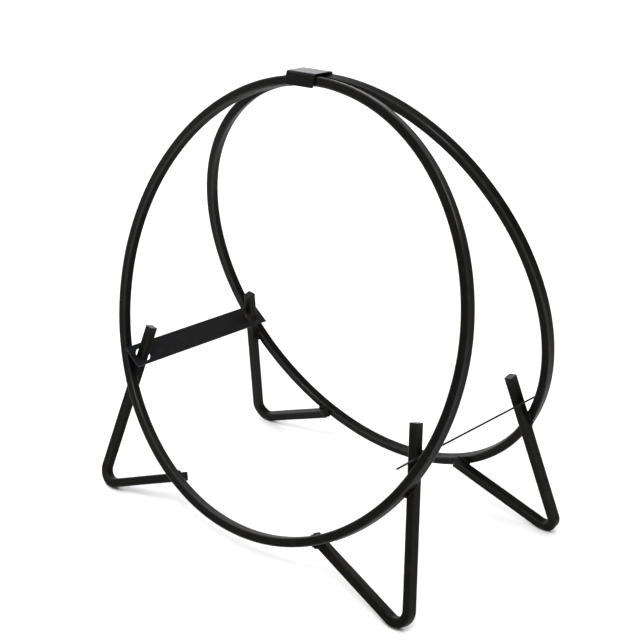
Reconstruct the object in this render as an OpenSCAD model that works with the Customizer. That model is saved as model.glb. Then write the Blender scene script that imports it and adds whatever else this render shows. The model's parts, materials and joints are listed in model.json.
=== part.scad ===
// Firewood rack: two leaning hoops of square bar, each welded to two V-shaped legs. Two flat
// spreader bars hang on the posts that the legs end in, and a bent clip joins the hoops at the top.
// Millimetres, +Z up. Y runs through the hoops, the way the logs lie.
// The origin is on the floor, midway between the feet.

/* [Hoops] */
// Outside diameter of each hoop
hoop_d = 610; // [400:1:800]
// Side of the solid square bar that hoops and legs are made of
bar = 12.7; // [8:0.1:16]
// Angle by which each hoop leans in from upright
lean = 15.4; // [10:0.1:22]
// Gap between the hoops where they come closest, at the top
top_gap = 4.4; // [1:0.1:12]

/* [Legs] */
// Where a post crosses its hoop, as an angle round the hoop from straight down
post_cross = 59.2; // [52:0.1:66]
// Where a foot arm crosses its hoop, as an angle round the hoop from straight down
arm_cross = 25.7; // [18:0.1:34]
// Lean of a post towards the middle of the hoop, in the hoop's plane
post_lean = 11.2; // [6:0.1:16]
// Slope at which a foot arm rises from the foot to the hoop
arm_rise = 21.7; // [16:0.1:30]
// Length of a post above the place where it crosses the hoop
post_rise = 74.5; // [50:0.5:110]
// Length of a foot arm past the place where it crosses the hoop
arm_overrun = 5; // [3:0.5:20]
// Inside radius of the bend at the foot
foot_bend_r = 11.5; // [4:0.5:20]
// Height of the flat that is ground on the underside of each foot
foot_flat = 0.5; // [0.2:0.1:1.5]

/* [Welds] */
// Size of the fillet welds between legs and hoops
weld = 4; // [2:0.5:6]

/* [Spreader bars] */
// Width of the flat bar
spreader_w = 35; // [28:0.5:50]
// Thickness of the flat bar
spreader_t = 2.4; // [1.5:0.1:5]
// Angle by which the bar's outer edge is tipped up
spreader_tip = 39; // [25:1:45]
// Height of the bar along the post, above the place where the post crosses the hoop
spreader_rise = 30; // [24:0.5:45]
// Length of the bar past the middle of each hole
spreader_end = 20; // [16:0.5:35]
// Distance of the holes' middles from the bar's outer edge, which reaches towards the hoops
hole_edge = 18.9; // [17:0.1:21]
// Clearance all round between a post's corners and its hole
hole_clear = 0.3; // [0.2:0.05:1.5]

/* [Clip] */
// Length of the clip along the hoops
clip_l = 49; // [30:1:90]
// Thickness of the clip's sheet
clip_t = 2; // [1:0.1:3]
// Inside radius of the clip's bends
clip_bend_r = 2; // [1.5:0.1:4]
// Height of the clip from its top to the lower edges of its flanges
clip_h = 18; // [12:0.5:30]
// Distance of the clip from the middle of the hoops
clip_shift = 24; // [0:1:40]
// Clearance between a flange and its hoop
clip_fit = 1; // [0.8:0.1:2]
// Clearance between the clip's top and the hoops
clip_seat = 0.3; // [0.3:0.05:1]

/* [Hidden] */
$fn = 96;

hoop_ro = hoop_d / 2;              // outside radius
hoop_ri = hoop_ro - bar;           // inside radius
hoop_rc = hoop_ro - bar / 2;       // radius of the bar's middle line
leg_y = bar;                       // middle of a leg, inward of the hoop's own plane
hoop_y = hoop_ro * sin(lean) + bar / 2 * cos(lean) + top_gap / 2;

function arc_points(centre, r, from, turn, steps = 24) =
    [for (i = [0:steps]) centre + r * [cos(from + turn * i / steps), sin(from + turn * i / steps)]];
function mirrored(points) = [for (i = [len(points) - 1:-1:0]) [-points[i][0], points[i][1]]];

// The middle line of a leg in its hoop's plane, as [across, up] from the hoop's centre
post_dir = [-sin(post_lean), cos(post_lean)];
arm_dir = [-cos(arm_rise), sin(arm_rise)];
post_out = [cos(post_lean), sin(post_lean)];                 // away from the middle of the V
arm_out = [-sin(arm_rise), -cos(arm_rise)];
post_at = hoop_rc * [sin(post_cross), -cos(post_cross)];
arm_at = hoop_rc * [sin(arm_cross), -cos(arm_cross)];
post_top = post_at + post_rise * post_dir;
arm_end = arm_at + arm_overrun * arm_dir;

// The two middle lines meet in the corner that the foot's bend rounds
post_drop = cross(arm_at - post_at, arm_dir) / cross(-post_dir, arm_dir);
corner = post_at - post_drop * post_dir;
foot_half = (180 - 90 - post_lean - arm_rise) / 2;           // half the angle between the arms
bend_rc = foot_bend_r + bar / 2;
bend_mid = (post_dir + arm_dir) / norm(post_dir + arm_dir);
bend_centre = corner + bend_rc / sin(foot_half) * bend_mid;
bend_turn = 180 - 2 * foot_half;

// Height of the hoop's centre that brings the ground flats down to the floor
foot_low = bend_centre[1] - foot_bend_r - bar;
hoop_z = -(foot_low * cos(lean) - (leg_y + bar / 2) * sin(lean)) - foot_flat;

// Where the right front post's middle line passes through its spreader bar, in the whole rack
spreader_at = post_at + spreader_rise * post_dir;
spreader_x = spreader_at[0];
spreader_y = hoop_y - spreader_at[1] * sin(lean) - leg_y * cos(lean);
spreader_z = hoop_z + spreader_at[1] * cos(lean) - leg_y * sin(lean);
spreader_l = 2 * (spreader_y + spreader_end);

// The smallest round hole that a tipped square post passes through
post_along = [post_dir[0], post_dir[1] * sin(lean), post_dir[1] * cos(lean)];
post_side = [0, cos(lean), -sin(lean)];
post_front = cross(post_along, post_side);
bar_up = [-sin(spreader_tip), 0, cos(spreader_tip)];
function on_bar(p, up) = p + (up - p * bar_up) / (post_along * bar_up) * post_along - up * bar_up;
hole_r = hole_clear + max([
    for (a = [-1, 1], b = [-1, 1], c = [-1, 1])
        norm(on_bar(bar / 2 * (a * post_side + b * post_front), c * spreader_t / 2))
]);

// The clip's bends, placed from the hoops' outer top corners
hoop_top_y = top_gap / 2 + bar * cos(lean);
hoop_top_z = hoop_z + hoop_ro * cos(lean) + bar / 2 * sin(lean);
clip_bend_z = hoop_top_z + clip_seat - clip_bend_r;
clip_bend_y = hoop_top_y
    + (clip_fit - clip_bend_r - (clip_seat - clip_bend_r) * sin(lean)) / cos(lean);
clip_ro = clip_bend_r + clip_t;
clip_flange = (clip_h - clip_ro + clip_bend_r * sin(lean)) / cos(lean);
clip_bend = [clip_bend_y, clip_bend_z];
clip_edge = clip_bend + clip_flange * [sin(lean), -cos(lean)];
clip_out = [cos(lean), sin(lean)];
clip_side = concat(
    arc_points(clip_bend, clip_ro, 90, lean - 90, 8),
    [clip_edge + clip_ro * clip_out, clip_edge + clip_bend_r * clip_out],
    arc_points(clip_bend, clip_bend_r, lean, 90 - lean, 8)
);

module in_front() {
    translate([0, -hoop_y, hoop_z]) rotate([-lean, 0, 0]) children();
}

module at_back() {
    rotate([0, 0, 180]) in_front() children();
}

// Stands a flat shape up in the hoop's plane, from one depth to another, inward of that plane
module upright(from, to) {
    translate([0, to, 0]) rotate([90, 0, 0]) linear_extrude(to - from) children();
}

module hoop() {
    upright(-bar / 2, bar / 2) difference() {
        circle(hoop_ro, $fn = 360);
        circle(hoop_ri, $fn = 360);
    }
}

module leg(side) {
    mirror([side < 0 ? 1 : 0, 0, 0]) upright(leg_y - bar / 2, leg_y + bar / 2) polygon(concat(
        [post_top + bar / 2 * post_out],
        arc_points(bend_centre, foot_bend_r + bar, post_lean, -bend_turn),
        [arm_end + bar / 2 * arm_out, arm_end - bar / 2 * arm_out],
        arc_points(bend_centre, foot_bend_r, post_lean - bend_turn, bend_turn),
        [post_top - bar / 2 * post_out]
    ));
}

// Takes off what would reach below the floor, which leaves the ground flats
module on_floor() {
    span = hoop_d + 2 * bar;
    difference() {
        children();
        translate([-span, -span, -bar]) cube([2 * span, 2 * span, bar]);
    }
}

// One fillet weld on the hoop's inner face, along one side of a leg
module weld_run(at, dir, side, past) {
    reach = 3 * bar;
    intersection() {
        translate([at[0], bar / 2, at[1]]) rotate([0, -atan2(dir[1], dir[0]), 0])
            translate([-reach, 0, side * bar / 2]) rotate([90, 0, 90])
                linear_extrude(reach + past) polygon([[0, 0], [weld, 0], [0, side * weld]]);
        upright(0, 2 * bar) difference() {
            circle(hoop_ro, $fn = 360);
            circle(hoop_ri, $fn = 360);
        }
    }
}

module welds(side) {
    mirror([side < 0 ? 1 : 0, 0, 0]) for (edge = [-1, 1]) {
        weld_run(post_at, post_dir, edge, 3 * bar);
        weld_run(arm_at, arm_dir, edge, arm_overrun);
    }
}

module spreader_bar(side) {
    mirror([side < 0 ? 1 : 0, 0, 0])
        translate([spreader_x, 0, spreader_z]) rotate([0, -spreader_tip, 0]) difference() {
            translate([hole_edge - spreader_w / 2, 0, 0]) cube([spreader_w, spreader_l, spreader_t], center = true);
            for (end = [-1, 1]) translate([0, end * spreader_y, 0])
                cylinder(h = 2 * spreader_t, r = hole_r, center = true);
        }
}

module front_hoop() { color("#26262a") in_front() hoop(); }
module rear_hoop() { color("#2a2a2e") at_back() hoop(); }
module front_left_leg() { color("#303035") on_floor() in_front() leg(-1); }
module front_right_leg() { color("#303035") on_floor() in_front() leg(1); }
module rear_left_leg() { color("#34343a") on_floor() at_back() leg(1); }
module rear_right_leg() { color("#34343a") on_floor() at_back() leg(-1); }
module front_left_welds() { color("#3c3a38") in_front() welds(-1); }
module front_right_welds() { color("#3c3a38") in_front() welds(1); }
module rear_left_welds() { color("#3c3a38") at_back() welds(1); }
module rear_right_welds() { color("#3c3a38") at_back() welds(-1); }
module left_spreader_bar() { color("#2d2b2b") spreader_bar(-1); }
module right_spreader_bar() { color("#2d2b2b") spreader_bar(1); }

module top_clip() {
    color("#4c4b55") translate([-clip_shift - clip_l / 2, 0, 0]) rotate([90, 0, 90])
        linear_extrude(clip_l) polygon(concat(clip_side, mirrored(clip_side)));
}

front_hoop();
rear_hoop();
front_left_leg();
front_right_leg();
rear_left_leg();
rear_right_leg();
front_left_welds();
front_right_welds();
rear_left_welds();
rear_right_welds();
left_spreader_bar();
right_spreader_bar();
top_clip();
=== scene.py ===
import json
import math
import random

import bmesh
import bpy
from mathutils import Matrix, Vector

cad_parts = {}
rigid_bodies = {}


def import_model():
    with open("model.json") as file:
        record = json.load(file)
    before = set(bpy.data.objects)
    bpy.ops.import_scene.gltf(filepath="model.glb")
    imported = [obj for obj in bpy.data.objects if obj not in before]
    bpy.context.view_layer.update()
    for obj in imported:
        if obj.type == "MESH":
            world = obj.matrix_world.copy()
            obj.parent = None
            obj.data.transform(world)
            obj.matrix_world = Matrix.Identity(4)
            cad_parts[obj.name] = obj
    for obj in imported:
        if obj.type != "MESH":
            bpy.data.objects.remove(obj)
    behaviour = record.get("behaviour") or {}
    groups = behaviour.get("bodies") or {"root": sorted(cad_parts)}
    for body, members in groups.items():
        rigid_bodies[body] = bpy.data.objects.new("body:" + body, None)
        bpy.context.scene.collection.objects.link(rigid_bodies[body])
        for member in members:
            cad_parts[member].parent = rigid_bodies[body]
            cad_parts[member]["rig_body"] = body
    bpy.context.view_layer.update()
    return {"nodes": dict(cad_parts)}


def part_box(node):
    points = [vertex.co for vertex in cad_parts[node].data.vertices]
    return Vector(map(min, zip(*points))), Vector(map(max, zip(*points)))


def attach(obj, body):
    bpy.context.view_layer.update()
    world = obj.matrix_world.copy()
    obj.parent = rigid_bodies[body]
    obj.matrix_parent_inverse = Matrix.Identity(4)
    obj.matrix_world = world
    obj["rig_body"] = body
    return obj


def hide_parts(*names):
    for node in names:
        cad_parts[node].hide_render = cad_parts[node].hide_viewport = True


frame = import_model()

# Metres and degrees, unless a note says otherwise. The camera comes first.
cameraSetup = {"azimuth": 42.45, "elevation": 20.1, "roll": 0.17, "distance": 1.744,
               "lens": 72.1, "target": (-0.0045, 0.0, 0.2847)}


def makeCamera(setup):
    az, el, roll = (math.radians(setup[k]) for k in ("azimuth", "elevation", "roll"))
    back = Vector((math.sin(az) * math.cos(el), -math.cos(az) * math.cos(el), math.sin(el)))
    right = Vector((math.cos(az), math.sin(az), 0))
    up = back.cross(right)
    turned = Matrix((math.cos(roll) * right + math.sin(roll) * up,
                     -math.sin(roll) * right + math.cos(roll) * up, back)).transposed().to_4x4()
    data = bpy.data.cameras.new("camera")
    data.lens = setup["lens"]
    camera = bpy.data.objects.new("camera", data)
    camera.matrix_world = Matrix.Translation(Vector(setup["target"]) + setup["distance"] * back) @ turned
    bpy.context.scene.collection.objects.link(camera)
    bpy.context.scene.camera = camera


makeCamera(cameraSetup)
print("camera placed")


class Wire:  # a shader socket that Python's own operators work on
    def __init__(self, graph, socket):
        self.graph = graph
        self.socket = socket

    def __add__(self, other):
        return self.graph.maths("ADD", self, other)

    def __radd__(self, other):
        return self.graph.maths("ADD", other, self)

    def __sub__(self, other):
        return self.graph.maths("SUBTRACT", self, other)

    def __rsub__(self, other):
        return self.graph.maths("SUBTRACT", other, self)

    def __mul__(self, other):
        return self.graph.maths("MULTIPLY", self, other)

    def __rmul__(self, other):
        return self.graph.maths("MULTIPLY", other, self)


class Graph:  # the nodes of one material, or of the sky
    def __init__(self, owner, shader="Principled BSDF"):
        owner.use_nodes = True
        self.tree = owner.node_tree
        self.shader = self.tree.nodes[shader]

    def node(self, kind, settings=None, inputs=None, out=0):
        made = self.tree.nodes.new(kind)
        for name, value in (settings or {}).items():
            setattr(made, name, value)
        self.feed(made, inputs or {})
        return Wire(self, made.outputs[out])

    def feed(self, made, inputs):
        for name, value in inputs.items():
            if isinstance(value, Wire):
                self.tree.links.new(value.socket, made.inputs[name])
            else:
                made.inputs[name].default_value = value

    def maths(self, operation, *values):
        return self.node("ShaderNodeMath", {"operation": operation}, dict(enumerate(values)))

    def ramp(self, value, low, high):  # 0 below low, 1 above high, smooth between them
        return self.node("ShaderNodeMapRange", {"interpolation_type": "SMOOTHSTEP"},
                         {"Value": value, "From Min": low, "From Max": high})

    def noise(self, where, scale, detail, roughness):
        return self.node("ShaderNodeTexNoise", None,
                         {"Vector": where, "Scale": scale, "Detail": detail, "Roughness": roughness})

    def mix(self, factor, first, second):  # sockets 6 and 7 take the two colours, and output 2 is theirs
        return self.node("ShaderNodeMix", {"data_type": "RGBA"}, {0: factor, 6: first, 7: second}, out=2)

    def attribute(self, name):
        return self.node("ShaderNodeAttribute", {"attribute_name": name}, out=2)


# Black paint, in the finish that each kind of piece has. Cool and warm are its two blacks, the edge grey
# is partly worn thin paint and partly a painted highlight along every edge, and peel and lumps are its
# bumps.
paintLook = {
    "hoops": {"slot": "bar_paint", "cool": (0.0020, 0.0023, 0.0018), "warm": (0.0044, 0.0036, 0.0026),
              "thinPaintAndHighlight": 0.014, "rough": 0.40, "roughSwing": 0.12, "peel": 0.34, "lumps": 0.45,
              "edgeWear": 0.22, "gloss": 0.50},
    "legs": {"slot": "bar_paint", "cool": (0.0021, 0.0023, 0.0017), "warm": (0.0047, 0.0038, 0.0027),
             "thinPaintAndHighlight": 0.010, "rough": 0.44, "roughSwing": 0.12, "peel": 0.34, "lumps": 0.45,
             "edgeWear": 0.22, "gloss": 0.12},
    # the flat bars' two blacks are lighter and bluer than the rest: a painted reflection of the bluish sky
    "flats": {"slot": "flat_bar_paint", "cool": (0.0056, 0.0060, 0.0072), "warm": (0.0072, 0.0070, 0.0070),
              "thinPaintAndHighlight": 0.014, "rough": 0.38, "roughSwing": 0.12, "peel": 0.28, "lumps": 0.22,
              "edgeWear": 0.22, "gloss": 0.15},
    "welds": {"slot": "weld_paint", "cool": (0.0028, 0.0031, 0.0026), "warm": (0.0054, 0.0045, 0.0035),
              "thinPaintAndHighlight": 0.007, "rough": 0.36, "roughSwing": 0.10, "peel": 0.35, "lumps": 0.60,
              "edgeWear": 0.0, "gloss": 0.0},
    "clip": {"slot": "clip_paint", "cool": (0.0009, 0.0011, 0.0010), "warm": (0.0022, 0.0020, 0.0017),
             "thinPaintAndHighlight": 0.012, "rough": 0.34, "roughSwing": 0.08, "peel": 0.22, "lumps": 0.10,
             "edgeWear": 0.10, "gloss": 0.15},
}

# What all the finishes share. A noise is its scale, detail and roughness, and a range is where a
# mask starts and where it is full.
paintMix = {
    "cloudyNoise": (14, 4, 0.5),
    "blotchNoise": (95, 4, 0.6),
    "grainNoise": (900, 2, 0.5),
    "fineNoise": (2600, 2, 0.5),
    # from the cool black to the warm one
    "warmRange": (0.42, 0.68),
    "warmBlotch": 0.35,
    # chips along the edges and where pieces rub
    "chipRange": (0.30, 0.42),
    "chipBlotch": 1.6,
    "chipFine": 0.9,
    "chipLeast": 0.55,
    "rubChips": 0.35,
    "chipBare": 0.5,
    # scuffs where pieces rub, and the steel that shows in both
    "scuffRange": (0.62, 1.0),
    "scuffGrain": 0.9,
    "scuffBare": 0.3,
    "bareSteel": (0.16, 0.155, 0.15, 1),
    "bareMetallic": 0.7,
    # dust, and a lighter grey along the edges: partly thinner paint, partly a painted highlight
    "dustRange": (0.55, 0.85),
    "dustGrain": 0.6,
    "dustMost": 0.12,
    "dustGrey": (0.055, 0.050, 0.045, 1),
    "edgeThinPaintAndHighlight": 0.5,
    # roughness and the glossier coat along the edges
    "cloudRough": 0.10,
    "edgeSmooth": 0.15,
    "bareRough": 0.10,
    "coatLeast": 0.35,
    "coatBlotch": 0.6,
    "coatRough": 0.18,
    # bumps, and the saw marks on cut ends
    "sawScale": 420,
    "sawWobble": 3.0,
    "sawHeight": 0.5,
    "fineHeight": 0.10,
    "chipDepth": 0.6,
    "bumpStrength": 0.55,
    "bumpHeight": 0.00012,
}


def blackPaint(name, look):
    material = bpy.data.materials.new(name)
    g = Graph(material)
    where = g.node("ShaderNodeTexCoord", out=3)
    edge = g.attribute("edge")
    rub = g.attribute("rub")
    cut = g.attribute("cut")
    cloudy = g.noise(where, *paintMix["cloudyNoise"])
    blotch = g.noise(where, *paintMix["blotchNoise"])
    grain = g.noise(where, *paintMix["grainNoise"])
    fine = g.noise(where, *paintMix["fineNoise"])

    warmth = g.ramp(cloudy + paintMix["warmBlotch"] * (blotch - 0.5), *paintMix["warmRange"])
    edgeChips = edge * look["edgeWear"] * (blotch * paintMix["chipBlotch"])
    edgeChips = edgeChips * (paintMix["chipLeast"] + fine * paintMix["chipFine"])
    chips = g.ramp(edgeChips + paintMix["rubChips"] * rub * blotch, *paintMix["chipRange"])
    scuffed = g.ramp(rub + paintMix["scuffGrain"] * (grain - 0.5), *paintMix["scuffRange"])
    bare = g.maths("MAXIMUM", chips * paintMix["chipBare"], scuffed * paintMix["scuffBare"])
    dust = g.ramp(blotch + paintMix["dustGrain"] * (grain - 0.5), *paintMix["dustRange"])

    colour = g.mix(warmth, (*look["cool"], 1), (*look["warm"], 1))
    # the edges turn a lighter grey: partly thin paint, partly a painted highlight
    colour = g.mix(edge * paintMix["edgeThinPaintAndHighlight"], colour, (look["thinPaintAndHighlight"],) * 3 + (1,))
    colour = g.mix(dust * paintMix["dustMost"], colour, paintMix["dustGrey"])
    colour = g.mix(bare, colour, paintMix["bareSteel"])

    rough = look["rough"] + look["roughSwing"] * (blotch - 0.5) * 2
    rough = rough + paintMix["cloudRough"] * (cloudy - 0.5)
    rough = rough - paintMix["edgeSmooth"] * edge + paintMix["bareRough"] * bare
    coat = edge * look["gloss"] * (paintMix["coatLeast"] + paintMix["coatBlotch"] * blotch)

    sawLines = g.node("ShaderNodeTexWave", {"bands_direction": "DIAGONAL"},
                      {"Vector": where, "Scale": paintMix["sawScale"],
                       "Distortion": paintMix["sawWobble"], "Detail": 2})
    height = look["peel"] * grain + look["lumps"] * blotch + paintMix["fineHeight"] * fine
    height = height + paintMix["sawHeight"] * cut * sawLines - paintMix["chipDepth"] * chips
    bump = g.node("ShaderNodeBump", None, {"Strength": paintMix["bumpStrength"],
                                           "Distance": paintMix["bumpHeight"], "Height": height})
    g.feed(g.shader, {"Base Color": colour, "Roughness": rough, "Metallic": bare * paintMix["bareMetallic"],
                      "Coat Weight": coat, "Coat Roughness": paintMix["coatRough"], "Coat IOR": 1.5,
                      "Normal": bump, "IOR": 1.45, "Specular IOR Level": 0.05})
    return material


paints = {kind: blackPaint("blackPaint" + kind.title(), look) for kind, look in paintLook.items()}
print("paints mixed")

# Steps that several pieces share.
sameSpot = 1e-6      # vertices closer than this are one
sharpTurn = 1.0      # in radians, between the faces at an edge that gets a rounding
# the same edges also get a lighter grey, partly worn paint and partly a painted highlight
wearAndHighlightTurn = 0.985     # cosine of the turn between faces past which an edge shows wear
faceWeight = 80      # above 50 the large faces win more of the shading at a rounded edge
outerCut = 0.86      # where a bar's outer cuts lie, as a share of its half flat


def roundedSquare(bm, side, edgeRound):
    made = bmesh.ops.create_grid(bm, x_segments=1, y_segments=1, size=side / 2)
    bmesh.ops.bevel(bm, geom=made["verts"], offset=edgeRound, offset_type="OFFSET", segments=3,
                    profile=0.5, affect="VERTICES", material=-1)
    longEdges = [e for e in bm.edges if e.calc_length() > side / 2]
    bmesh.ops.delete(bm, geom=bm.faces[:], context="FACES_ONLY")
    bmesh.ops.subdivide_edges(bm, edges=longEdges, cuts=3)
    # the outer cuts move out to the rounded corners, so that the flats stay flat
    flat = side / 2 - edgeRound
    for v in bm.verts:
        for axis in (0, 1):
            if math.isclose(abs(v.co[axis]), flat / 2, rel_tol=0.01):
                v.co[axis] = math.copysign(flat * outerCut, v.co[axis])
    return bm.edges[:]


def pushOut(bm, edges, step, count):  # a straight run, in equal steps
    for _ in range(count):
        made = bmesh.ops.extrude_edge_only(bm, edges=edges)["geom"]
        edges = [g for g in made if isinstance(g, bmesh.types.BMEdge) and all(v in made for v in g.verts)]
        bmesh.ops.translate(bm, verts=list({v for e in edges for v in e.verts}), vec=step)
    return edges


def roundEdges(bm, edges, offset, segments):
    bmesh.ops.bevel(bm, geom=edges, offset=offset, offset_type="OFFSET", segments=segments,
                    profile=0.5, affect="EDGES", material=-1)


def sharpEdges(bm):
    return [e for e in bm.edges if len(e.link_faces) == 2 and e.calc_face_angle() > sharpTurn]


def nearness(point, spots):  # 1 at a spot, falling to 0 at its reach
    return max((max(0.0, 1 - (point - spot).length / reach) for spot, reach in spots), default=0.0)


def finishPiece(bm, name, kind, nodes, body, rubs=(), sawnEnds=()):
    bmesh.ops.recalc_face_normals(bm, faces=bm.faces[:])
    edgeMark = bm.verts.layers.float.new("edge")
    rubMark = bm.verts.layers.float.new("rub")
    cutMark = bm.verts.layers.float.new("cut")
    for v in bm.verts:
        normals = [f.normal for f in v.link_faces]
        v[edgeMark] = 1.0 if any(a.dot(b) < wearAndHighlightTurn for a in normals for b in normals) else 0.0
        v[rubMark] = nearness(v.co, rubs)
        v[cutMark] = 1.0 if nearness(v.co, sawnEnds) > 0 else 0.0
    for f in bm.faces:
        f.smooth = True
    mesh = bpy.data.meshes.new(name)
    bm.to_mesh(mesh)
    bm.free()
    piece = bpy.data.objects.new(name, mesh)
    bpy.context.scene.collection.objects.link(piece)
    mesh.materials.append(paints[kind])
    weighted = piece.modifiers.new("flatFaces", "WEIGHTED_NORMAL")
    weighted.keep_sharp = True
    weighted.weight = faceWeight
    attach(piece, body)
    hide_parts(*nodes)


def bodyOf(node):
    return frame["nodes"][node]["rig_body"]


hoopLow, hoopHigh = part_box("front_hoop")
hoop = {
    "centre": (hoopLow + hoopHigh) / 2,
    "radius": (hoopHigh.x - hoopLow.x) / 2,   # outside
    "bar": 0.0127,
    "lean": 15.4,
    "edgeRound": 0.0015,
    "steps": 288,
    "wave": 0.00018,                          # how far the rolled bar strays from a true circle
    "waves": ((1.0, 3, 1), (0.6, 7, 2), (0.3, 17, 0)),   # size, waves in a turn, share of the phase
    "phase": {"front": 0.4, "rear": 2.1},
    "seamAt": -4.5,                           # the closing weld, under the clip, in degrees from the top
    "seamWidth": 0.005,
    "seamHeight": 0.00035,
    "clipRubOut": 0.0215,                     # where the clip's ends rub a hoop, from the rack's middle
    "clipRubUp": 0.001,                       # and above the clip's lower edge
    "clipRubReach": 0.006,
}
midRadius = hoop["radius"] - hoop["bar"] / 2


def place(side):  # from a hoop's own plane (across, inward, up) to the rack
    turned = Matrix.Translation(hoop["centre"]) @ Matrix.Rotation(math.radians(-hoop["lean"]), 4, "X")
    return turned if side == "front" else Matrix.Rotation(math.pi, 4, "Z") @ turned


def makeHoop(side):
    bm = bmesh.new()
    edges = roundedSquare(bm, hoop["bar"], hoop["edgeRound"])
    bmesh.ops.translate(bm, verts=bm.verts[:], vec=(midRadius, 0, 0))
    bmesh.ops.spin(bm, geom=bm.verts[:] + edges, cent=(0, 0, 0), axis=(0, 1, 0), dvec=(0, 0, 0),
                   angle=math.tau, steps=hoop["steps"], use_merge=True, use_duplicate=False)
    phase = hoop["phase"][side]
    most = sum(size for size, count, share in hoop["waves"])
    seam = math.radians(90 - hoop["seamAt"] * (1 if side == "front" else -1))
    for v in bm.verts:
        turn = math.atan2(v.co.z, v.co.x)
        out = Vector((math.cos(turn), 0, math.sin(turn)))
        stray = sum(size * math.sin(count * turn + share * phase) for size, count, share in hoop["waves"])
        v.co += out * hoop["wave"] * (stray - most)   # never outside the true circle
        offSeam = abs(turn - seam) * midRadius / hoop["seamWidth"]
        if offSeam < 1:
            fromMid = v.co - out * midRadius
            v.co += fromMid.normalized() * hoop["seamHeight"] * (1 - offSeam ** 2)
    bmesh.ops.transform(bm, matrix=place(side), verts=bm.verts[:])
    return bm


def clipRubs(side):
    low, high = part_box("top_clip")
    out = hoop["clipRubOut"] * (-1 if side == "front" else 1)
    return [(Vector((x, out, low.z + hoop["clipRubUp"])), hoop["clipRubReach"]) for x in (low.x, high.x)]


for side in ("front", "rear"):
    node = side + "_hoop"
    finishPiece(makeHoop(side), side + "Hoop", "hoops", [node], bodyOf(node), clipRubs(side))
print("hoops rolled")

leg = {
    "postCross": 59.2, "armCross": 25.7,     # where each arm crosses the hoop, from straight down
    "postLean": 11.2, "armRise": 21.7,       # how each arm slopes in the hoop's plane
    "postRise": 0.0745,                      # how far a post runs past its crossing
    "armOverrun": {"front_left": 0.005, "front_right": 0.0078, "rear_left": 0.005, "rear_right": 0.005},
    "bendRadius": 0.0115,                    # inside the bend
    "bendSteps": 20,
    "stepLength": 0.012,
    "edgeRound": 0.0015,
    "sawnEdge": 0.0007,
    "sawnReach": 0.0092,                     # how far saw marks reach from the middle of a cut end
    "seatRise": 0.030,                       # how far up its post a spreader bar sits
    "seatRub": 0.0105,
    "footRub": 0.020,
}
legSides = [(side, hand) for side in ("front", "rear") for hand in ("left", "right")]


def isMirrored(side, hand):  # seen in its own hoop's plane, a rear right leg is a left one
    return (hand == "left") == (side == "front")


def legPlace(side, hand):  # from a leg drawn in the hoop's plane to its place on the rack
    flip = Matrix.Scale(-1, 4, (1, 0, 0)) if isMirrored(side, hand) else Matrix()
    return place(side) @ flip


def cross2(a, b):
    return a.x * b.z - a.z * b.x


def legPoints(name):
    ang = {k: math.radians(leg[k]) for k in ("postCross", "armCross", "postLean", "armRise")}
    postAt = Vector((math.sin(ang["postCross"]), 0, -math.cos(ang["postCross"]))) * midRadius
    armAt = Vector((math.sin(ang["armCross"]), 0, -math.cos(ang["armCross"]))) * midRadius
    postDir = Vector((-math.sin(ang["postLean"]), 0, math.cos(ang["postLean"])))
    armDir = Vector((-math.cos(ang["armRise"]), 0, math.sin(ang["armRise"])))
    drop = cross2(armAt - postAt, armDir) / cross2(-postDir, armDir)
    corner = postAt - drop * postDir
    half = (math.pi / 2 - ang["postLean"] - ang["armRise"]) / 2
    bend = leg["bendRadius"] + hoop["bar"] / 2
    shift = Vector((0, hoop["bar"], 0))      # a leg lies on its hoop's inner face
    return {
        "postAt": postAt + shift, "armAt": armAt + shift, "postDir": postDir, "armDir": armDir,
        "postTop": postAt + leg["postRise"] * postDir + shift,
        "armEnd": armAt + leg["armOverrun"][name] * armDir + shift,
        "bendCentre": corner + bend / math.sin(half) * (postDir + armDir).normalized() + shift,
        "bendStart": corner + bend / math.tan(half) * postDir + shift,
        "bendEnd": corner + bend / math.tan(half) * armDir + shift,
        "bendTurn": math.pi - 2 * half,
    }


def pushLeg(bm, edges, run):
    count = round(run.length / leg["stepLength"])
    return pushOut(bm, edges, run / count, count)


def makeLeg(side, hand):
    at = legPoints(f"{side}_{hand}")
    bm = bmesh.new()
    edges = roundedSquare(bm, hoop["bar"], leg["edgeRound"])
    along = -at["postDir"]
    through = Vector((0, 1, 0))
    stand = Matrix((along.cross(through), through, along)).transposed().to_4x4()
    stand.translation = at["postTop"]
    bmesh.ops.transform(bm, matrix=stand, verts=bm.verts[:])
    edges = pushLeg(bm, edges, at["bendStart"] - at["postTop"])
    made = bmesh.ops.spin(bm, geom=list({v for e in edges for v in e.verts}) + edges,
                          cent=at["bendCentre"], axis=(0, 1, 0), dvec=(0, 0, 0),
                          angle=at["bendTurn"], steps=leg["bendSteps"], use_merge=False, use_duplicate=False)
    edges = [g for g in made["geom_last"] if isinstance(g, bmesh.types.BMEdge)]
    pushLeg(bm, edges, at["armEnd"] - at["bendEnd"])
    ends = [e for e in bm.edges if e.is_boundary]
    bmesh.ops.holes_fill(bm, edges=ends, sides=0)
    roundEdges(bm, ends, leg["sawnEdge"], 2)
    bmesh.ops.transform(bm, matrix=legPlace(side, hand), verts=bm.verts[:])
    # the ground flat on the underside of the foot
    bmesh.ops.bisect_plane(bm, geom=bm.verts[:] + bm.edges[:] + bm.faces[:], dist=sameSpot,
                           plane_co=(0, 0, 0), plane_no=(0, 0, -1), clear_outer=True)
    bmesh.ops.holes_fill(bm, edges=[e for e in bm.edges if e.is_boundary], sides=0)
    return bm


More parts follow.
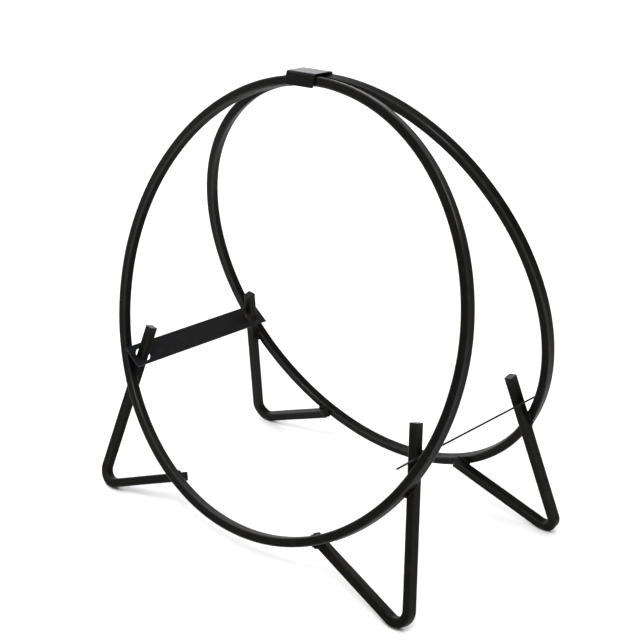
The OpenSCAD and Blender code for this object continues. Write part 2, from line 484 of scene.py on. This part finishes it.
def legMarks(side, hand):  # where its spreader bar and the floor rub a leg, and its two sawn ends
    at = legPoints(f"{side}_{hand}")
    toRack = legPlace(side, hand)
    seat = toRack @ (at["postAt"] + leg["seatRise"] * at["postDir"])
    foot = toRack @ at["bendCentre"]
    foot.z = 0
    sawnEnds = [(toRack @ at[end], leg["sawnReach"]) for end in ("postTop", "armEnd")]
    return [(seat, leg["seatRub"]), (foot, leg["footRub"])], sawnEnds


for side, hand in legSides:
    node = f"{side}_{hand}_leg"
    finishPiece(makeLeg(side, hand), f"{side}{hand.title()}Leg", "legs", [node], bodyOf(node),
                *legMarks(side, hand))
print("legs bent")

weld = {
    "size": 0.0030,              # radius of a bead down the side of a leg
    "sizeRange": (0.95, 0.15),   # the least share of it that a bead has, and what chance adds
    "crossSize": 0.0024,         # radius of a bead across a leg, along the hoop's rim
    "crossRange": (0.9, 0.25),
    "ripple": 0.0017,            # length of one ripple
    "rippleDepth": 0.13,
    "crestPower": 0.7,           # below 1 the crests are broad and the valleys narrow
    "swell": 0.06,               # slow change of a bead's thickness
    "swellWaves": 5,
    "swellPhase": 9,
    "taperPower": 3.5,           # how late a bead starts to narrow towards its ends
    "taperLeast": 0.04,
    "ringGap": 0.00042,
    "ringsLeast": 10,
    "sides": 14,
    "sideOff": 0.22,             # how far a bead's middle stands off the corner, in its radius
    "rimOff": 0.15,
    "rimBow": 0.25,              # how far the middle of a bead across a leg bows off the rim
    "crossHalf": 0.42,           # half the length of such a bead, in the bar's width
    "endHalf": 0.40,
    "overrun": 0.0010,           # how far a bead runs on past the hoop
    "upperRun": 0.0006,          # how far the beads beside an arm run past its end
    "lowerRun": -0.0045,
    "toe": 0.0034,               # how far an arm's bead runs out along the hoop
    "endLump": {"front_left": 0.6, "front_right": 0.55, "rear_left": 0.8, "rear_right": 0.9},
    "endShift": {"front_left": 0, "front_right": 0.0020, "rear_left": 0, "rear_right": 0},
    "seed": 7,
}


def throughHoop(at, direction, radius):  # how far along a line the hoop's circle of that radius is
    b = at.x * direction.x + at.z * direction.z
    c = at.x ** 2 + at.z ** 2 - radius ** 2
    root = math.sqrt(max(0.0, b * b - c))
    return min(-b - root, -b + root, key=abs)


def beadShapes(count, length, phase):  # a bead's thickness at each ring, as a share of its radius
    shapes = []
    for i in range(count + 1):
        u = i / count
        taper = max(weld["taperLeast"], 1 - abs(2 * u - 1) ** weld["taperPower"]) ** 0.5
        crest = abs(math.sin(math.pi * (u * length / weld["ripple"] + phase))) ** weld["crestPower"]
        swell = 1 + weld["swell"] * math.sin(weld["swellWaves"] * u + weld["swellPhase"] * phase)
        shapes.append(taper * swell * (1 - weld["rippleDepth"] * (1 - crest)))
    return shapes


def weldBead(bm, start, end, bow, size, rng):  # bow is how far the bead's middle leaves the straight line
    span = end - start
    along, length = span.normalized(), span.length
    count = max(weld["ringsLeast"], round(length / weld["ringGap"]))
    shapes = beadShapes(count, length, rng.random())
    side = along.orthogonal().normalized()
    face = Matrix((side, along.cross(side), along)).transposed().to_4x4()
    face.translation = start
    made = bmesh.ops.create_circle(bm, cap_ends=True, segments=weld["sides"], radius=size * shapes[0],
                                   matrix=face)
    edges = [e for e in bm.edges if e.verts[0] in made["verts"] and e.verts[1] in made["verts"]]
    middle = start.copy()
    for i in range(1, count + 1):
        onTo = start + span * i / count + bow * (1 - (2 * i / count - 1) ** 2)
        edges = pushOut(bm, edges, onTo - middle, 1)
        middle = onTo
        verts = list({v for e in edges for v in e.verts})
        bmesh.ops.scale(bm, vec=(shapes[i] / shapes[i - 1],) * 3, verts=verts,
                        space=Matrix.Translation(-middle))
    bmesh.ops.holes_fill(bm, edges=edges, sides=0)


def beadSize(size, least, chance, rng):
    return size * (least + chance * rng.random())


def makeWelds(side, hand, rng):
    bm = bmesh.new()
    name = f"{side}_{hand}"
    at = legPoints(name)
    inner = Vector((0, hoop["bar"] / 2, 0))      # the hoop's face that the leg lies against
    rims = (hoop["radius"], hoop["radius"] - hoop["bar"])
    spots = ((at["postAt"], at["postDir"], None), (at["armAt"], at["armDir"], leg["armOverrun"][name]))
    for point, direction, limit in spots:
        normal = Vector((-direction.z, 0, direction.x))
        point = Vector((point.x, 0, point.z))
        for way in (-1, 1):
            edge = point + normal * way * hoop["bar"] / 2
            reach = [throughHoop(edge, direction, r) for r in rims]
            near, far = min(reach) - weld["overrun"], max(reach) + weld["overrun"]
            if limit is not None:
                far = min(far, limit + (weld["upperRun"] if way < 0 else weld["lowerRun"]))
            size = beadSize(weld["size"], *weld["sizeRange"], rng)
            base = edge + inner + (normal * way + Vector((0, 1, 0))) * size * weld["sideOff"]
            weldBead(bm, base + direction * near, base + direction * far, Vector(), size, rng)
        # across the leg, along the rims of the hoop, or along the end of a short arm
        for rim, outward in zip(rims, (1, -1)):
            ends = []
            for way in (-1, 1):
                edge = point + normal * way * hoop["bar"] * weld["crossHalf"]
                ends.append(edge + direction * throughHoop(edge, direction, rim))
            size = beadSize(weld["crossSize"], *weld["crossRange"], rng)
            if limit is not None and outward < 0:
                size *= weld["endLump"][name]
                half = hoop["bar"] * weld["endHalf"]
                ends = [point + normal * (way * half + weld["endShift"][name]) + direction * limit
                        for way in (-1, 1)]
            elif limit is not None:
                ends[1] += normal * weld["toe"]
            radial = (ends[0] + ends[1]).normalized() * outward
            off = inner + radial * size * weld["rimOff"]
            weldBead(bm, ends[0] + off, ends[1] + off, radial * size * weld["rimBow"], size, rng)
    bmesh.ops.transform(bm, matrix=legPlace(side, hand), verts=bm.verts[:])
    return bm


rng = random.Random(weld["seed"])
for side, hand in legSides:
    node = f"{side}_{hand}_welds"
    finishPiece(makeWelds(side, hand, rng), f"{side}{hand.title()}Welds", "welds", [node], bodyOf(node))
print("welds laid")

spreader = {
    "width": 0.035,
    "thick": 0.0024,
    "tip": 39.0,             # how far its outer edge is tipped up
    "endLength": 0.020,      # from a hole's middle to the bar's end
    "holeIn": 0.0014,        # how far the holes lie inward of the bar's middle line
    "holeRadius": 0.0112,
    "holeSegments": 40,
    "holeRub": 0.004,        # how far beyond its edge a hole is rubbed
    "plainSteps": 8,
    "border": 0.0014,
    "edgeRound": 0.0006,
}


def makeSpreader(hand):
    low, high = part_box(hand + "_spreader_bar")
    halfWidth = spreader["width"] / 2
    patch = spreader["endLength"]
    holeY = (high.y - low.y) / 2 - patch
    hole = Vector((-spreader["holeIn"], holeY, 0))
    perSide = spreader["holeSegments"] // 4
    bm = bmesh.new()
    # the plate round one hole: a rectangle of edges bridged to the hole's circle
    bmesh.ops.create_grid(bm, x_segments=perSide, y_segments=perSide, size=1)
    inside = [v for v in bm.verts if all(len(e.link_faces) == 2 for e in v.link_edges)]
    bmesh.ops.delete(bm, geom=inside, context="VERTS")
    for v in bm.verts:
        v.co = Vector((v.co.x * halfWidth, holeY + v.co.y * patch, 0))
    bmesh.ops.create_circle(bm, cap_ends=False, segments=spreader["holeSegments"],
                            radius=spreader["holeRadius"],
                            matrix=Matrix.Translation(hole) @ Matrix.Rotation(math.pi / 4, 4, "Z"))
    bmesh.ops.bridge_loops(bm, edges=[e for e in bm.edges if not e.link_faces])
    # the plain middle, pushed out to the bar's centre line and mirrored
    plain = holeY - patch
    innerLine = [e for e in bm.edges if e.is_boundary and all(v.co.y < plain + sameSpot for v in e.verts)]
    pushOut(bm, innerLine, Vector((0, -plain / spreader["plainSteps"], 0)), spreader["plainSteps"])
    bmesh.ops.mirror(bm, geom=bm.verts[:] + bm.edges[:] + bm.faces[:], axis="Y", merge_dist=sameSpot)
    bmesh.ops.remove_doubles(bm, verts=bm.verts[:], dist=sameSpot)
    bmesh.ops.recalc_face_normals(bm, faces=bm.faces[:])
    # a narrow border keeps the wear at the edges
    bmesh.ops.inset_region(bm, faces=bm.faces[:], thickness=spreader["border"], use_boundary=True,
                           use_even_offset=True)
    made = bmesh.ops.extrude_face_region(bm, geom=bm.faces[:])
    top = [g for g in made["geom"] if isinstance(g, bmesh.types.BMVert)]
    bmesh.ops.translate(bm, verts=top, vec=(0, 0, spreader["thick"]))
    bmesh.ops.translate(bm, verts=bm.verts[:], vec=(0, 0, -spreader["thick"] / 2))
    bmesh.ops.recalc_face_normals(bm, faces=bm.faces[:])
    roundEdges(bm, sharpEdges(bm), spreader["edgeRound"], 3)
    flip = Matrix.Scale(-1 if hand == "left" else 1, 4, (1, 0, 0))
    tip = Matrix.Rotation(math.radians(-spreader["tip"]), 4, "Y")
    turned = Matrix.Translation((low + high) / 2) @ flip @ tip
    bmesh.ops.transform(bm, matrix=turned, verts=bm.verts[:])
    return bm, [turned @ Vector((hole.x, end * hole.y, 0)) for end in (-1, 1)]


for hand in ("left", "right"):
    node = hand + "_spreader_bar"
    bm, holes = makeSpreader(hand)
    rubReach = spreader["holeRadius"] + spreader["holeRub"]
    finishPiece(bm, hand + "SpreaderBar", "flats", [node], bodyOf(node), [(h, rubReach) for h in holes])
print("spreader bars punched")

clip = {
    "thick": 0.002,
    "bendRadius": 0.002,     # inside
    "bendSteps": 6,
    "flatSteps": 4,          # from the middle to a bend, and down a flange
    "lengthSteps": 12,
    "cornerRound": 0.0022,
    "border": 0.0009,
    "edgeRound": 0.00035,
}


def makeClip():
    low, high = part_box("top_clip")
    lean = math.radians(hoop["lean"])
    bend = clip["bendRadius"] + clip["thick"]  # the sheet's outer skin is drawn, then thickened inward
    flange = (high.z - low.z - bend + clip["bendRadius"] * math.sin(lean)) / math.cos(lean)
    flat = high.y - flange * math.sin(lean) - bend * math.cos(lean)
    steps = clip["flatSteps"]
    bm = bmesh.new()
    line = bmesh.ops.create_vert(bm, co=(low.x, 0, high.z))["vert"]

    def onward(vec):
        made = bmesh.ops.extrude_vert_indiv(bm, verts=[line[-1]])["verts"]
        bmesh.ops.translate(bm, verts=made, vec=vec)
        line.append(made[0])

    for _ in range(steps):
        onward((0, flat / steps, 0))
    made = bmesh.ops.spin(bm, geom=[line[-1]], cent=(low.x, flat, high.z - bend), axis=(1, 0, 0),
                          dvec=(0, 0, 0), angle=-(math.pi / 2 - lean), steps=clip["bendSteps"],
                          use_merge=False, use_duplicate=False)
    line.append([g for g in made["geom_last"] if isinstance(g, bmesh.types.BMVert)][0])
    for _ in range(steps):
        onward((0, math.sin(lean) * flange / steps, -math.cos(lean) * flange / steps))
    bmesh.ops.mirror(bm, geom=bm.verts[:] + bm.edges[:], axis="Y", merge_dist=sameSpot)
    bmesh.ops.remove_doubles(bm, verts=bm.verts[:], dist=sameSpot)
    pushOut(bm, bm.edges[:], Vector(((high.x - low.x) / clip["lengthSteps"], 0, 0)), clip["lengthSteps"])
    corners = [v for v in bm.verts if len(v.link_faces) == 1]
    bmesh.ops.bevel(bm, geom=corners, offset=clip["cornerRound"], offset_type="OFFSET", segments=4,
                    profile=0.5, affect="VERTICES", material=-1)
    bmesh.ops.recalc_face_normals(bm, faces=bm.faces[:])
    bmesh.ops.inset_region(bm, faces=bm.faces[:], thickness=clip["border"], use_boundary=True,
                           use_even_offset=True)
    bmesh.ops.solidify(bm, geom=bm.faces[:], thickness=clip["thick"])
    bmesh.ops.recalc_face_normals(bm, faces=bm.faces[:])
    roundEdges(bm, sharpEdges(bm), clip["edgeRound"], 2)
    return bm


finishPiece(makeClip(), "topClip", "clip", ["top_clip"], bodyOf("top_clip"))
print("clip bent")

studio = {
    "floorHalf": 60.0,
    "floor": (0.88, 0.88, 0.88, 1),
    "floorRough": 0.9,
    "floorShine": 0.2,
    "sky": (0.97, 0.985, 1.0, 1),
    "skyStrength": 0.38,
    "horizonStrength": 0.98,
    "skyFade": (0.10, 0.24),     # heights between which the pale horizon fades into the sky
    "sun": {"from": (-0.55, 0.35, 1.6), "strength": 2.7, "angle": 130.0},
    "panels": [                  # name, place, aim, width, height, watts, colour
        ("back", (-3.4, 3.6, 2.3), (0, 0, 0.3), 4.2, 1.6, 70, (0.94, 0.94, 1.0)),
        ("side", (-1.9, -1.5, 1.0), (-0.1, 0, 0.25), 1.0, 1.2, 9, (1.0, 0.98, 0.95)),
        ("key", (1.05, -1.65, 2.75), (0, 0, 0.3), 0.9, 0.9, 48, (1.0, 0.99, 0.97)),
    ],
}


def addLamp(name, kind, at, aim, settings):
    data = bpy.data.lights.new(name, kind)
    for key, value in settings.items():
        setattr(data, key, value)
    lamp = bpy.data.objects.new(name, data)
    lamp.location = at
    lamp.rotation_mode = "QUATERNION"
    lamp.rotation_quaternion = (Vector(aim) - Vector(at)).to_track_quat("-Z", "Y")
    bpy.context.scene.collection.objects.link(lamp)


def makeFloor():
    bm = bmesh.new()
    bmesh.ops.create_grid(bm, x_segments=1, y_segments=1, size=studio["floorHalf"])
    mesh = bpy.data.meshes.new("floor")
    bm.to_mesh(mesh)
    bm.free()
    floor = bpy.data.objects.new("floor", mesh)
    bpy.context.scene.collection.objects.link(floor)
    pale = bpy.data.materials.new("paleFloor")
    g = Graph(pale)
    g.feed(g.shader, {"Base Color": studio["floor"], "Roughness": studio["floorRough"],
                      "Specular IOR Level": studio["floorShine"]})
    mesh.materials.append(pale)


def makeSky():
    sky = bpy.data.worlds.new("sky")
    g = Graph(sky, "Background")
    height = g.node("ShaderNodeSeparateXYZ", None, {"Vector": g.node("ShaderNodeTexCoord")}, out=2)
    high = g.ramp(height, *studio["skyFade"])
    g.feed(g.shader, {"Color": studio["sky"],
                      "Strength": studio["horizonStrength"] * (1 - high) + studio["skyStrength"] * high})
    bpy.context.scene.world = sky


def makeLamps():
    sun = studio["sun"]
    addLamp("sun", "SUN", sun["from"], (0, 0, 0),
            {"energy": sun["strength"], "angle": math.radians(sun["angle"])})
    for name, at, aim, width, height, watts, colour in studio["panels"]:
        addLamp(name, "AREA", at, aim, {"shape": "RECTANGLE", "size": width, "size_y": height,
                                        "energy": watts, "color": colour})


makeFloor()
makeSky()
makeLamps()
bpy.context.scene.view_settings.view_transform = "Standard"
print("floor and lights set")
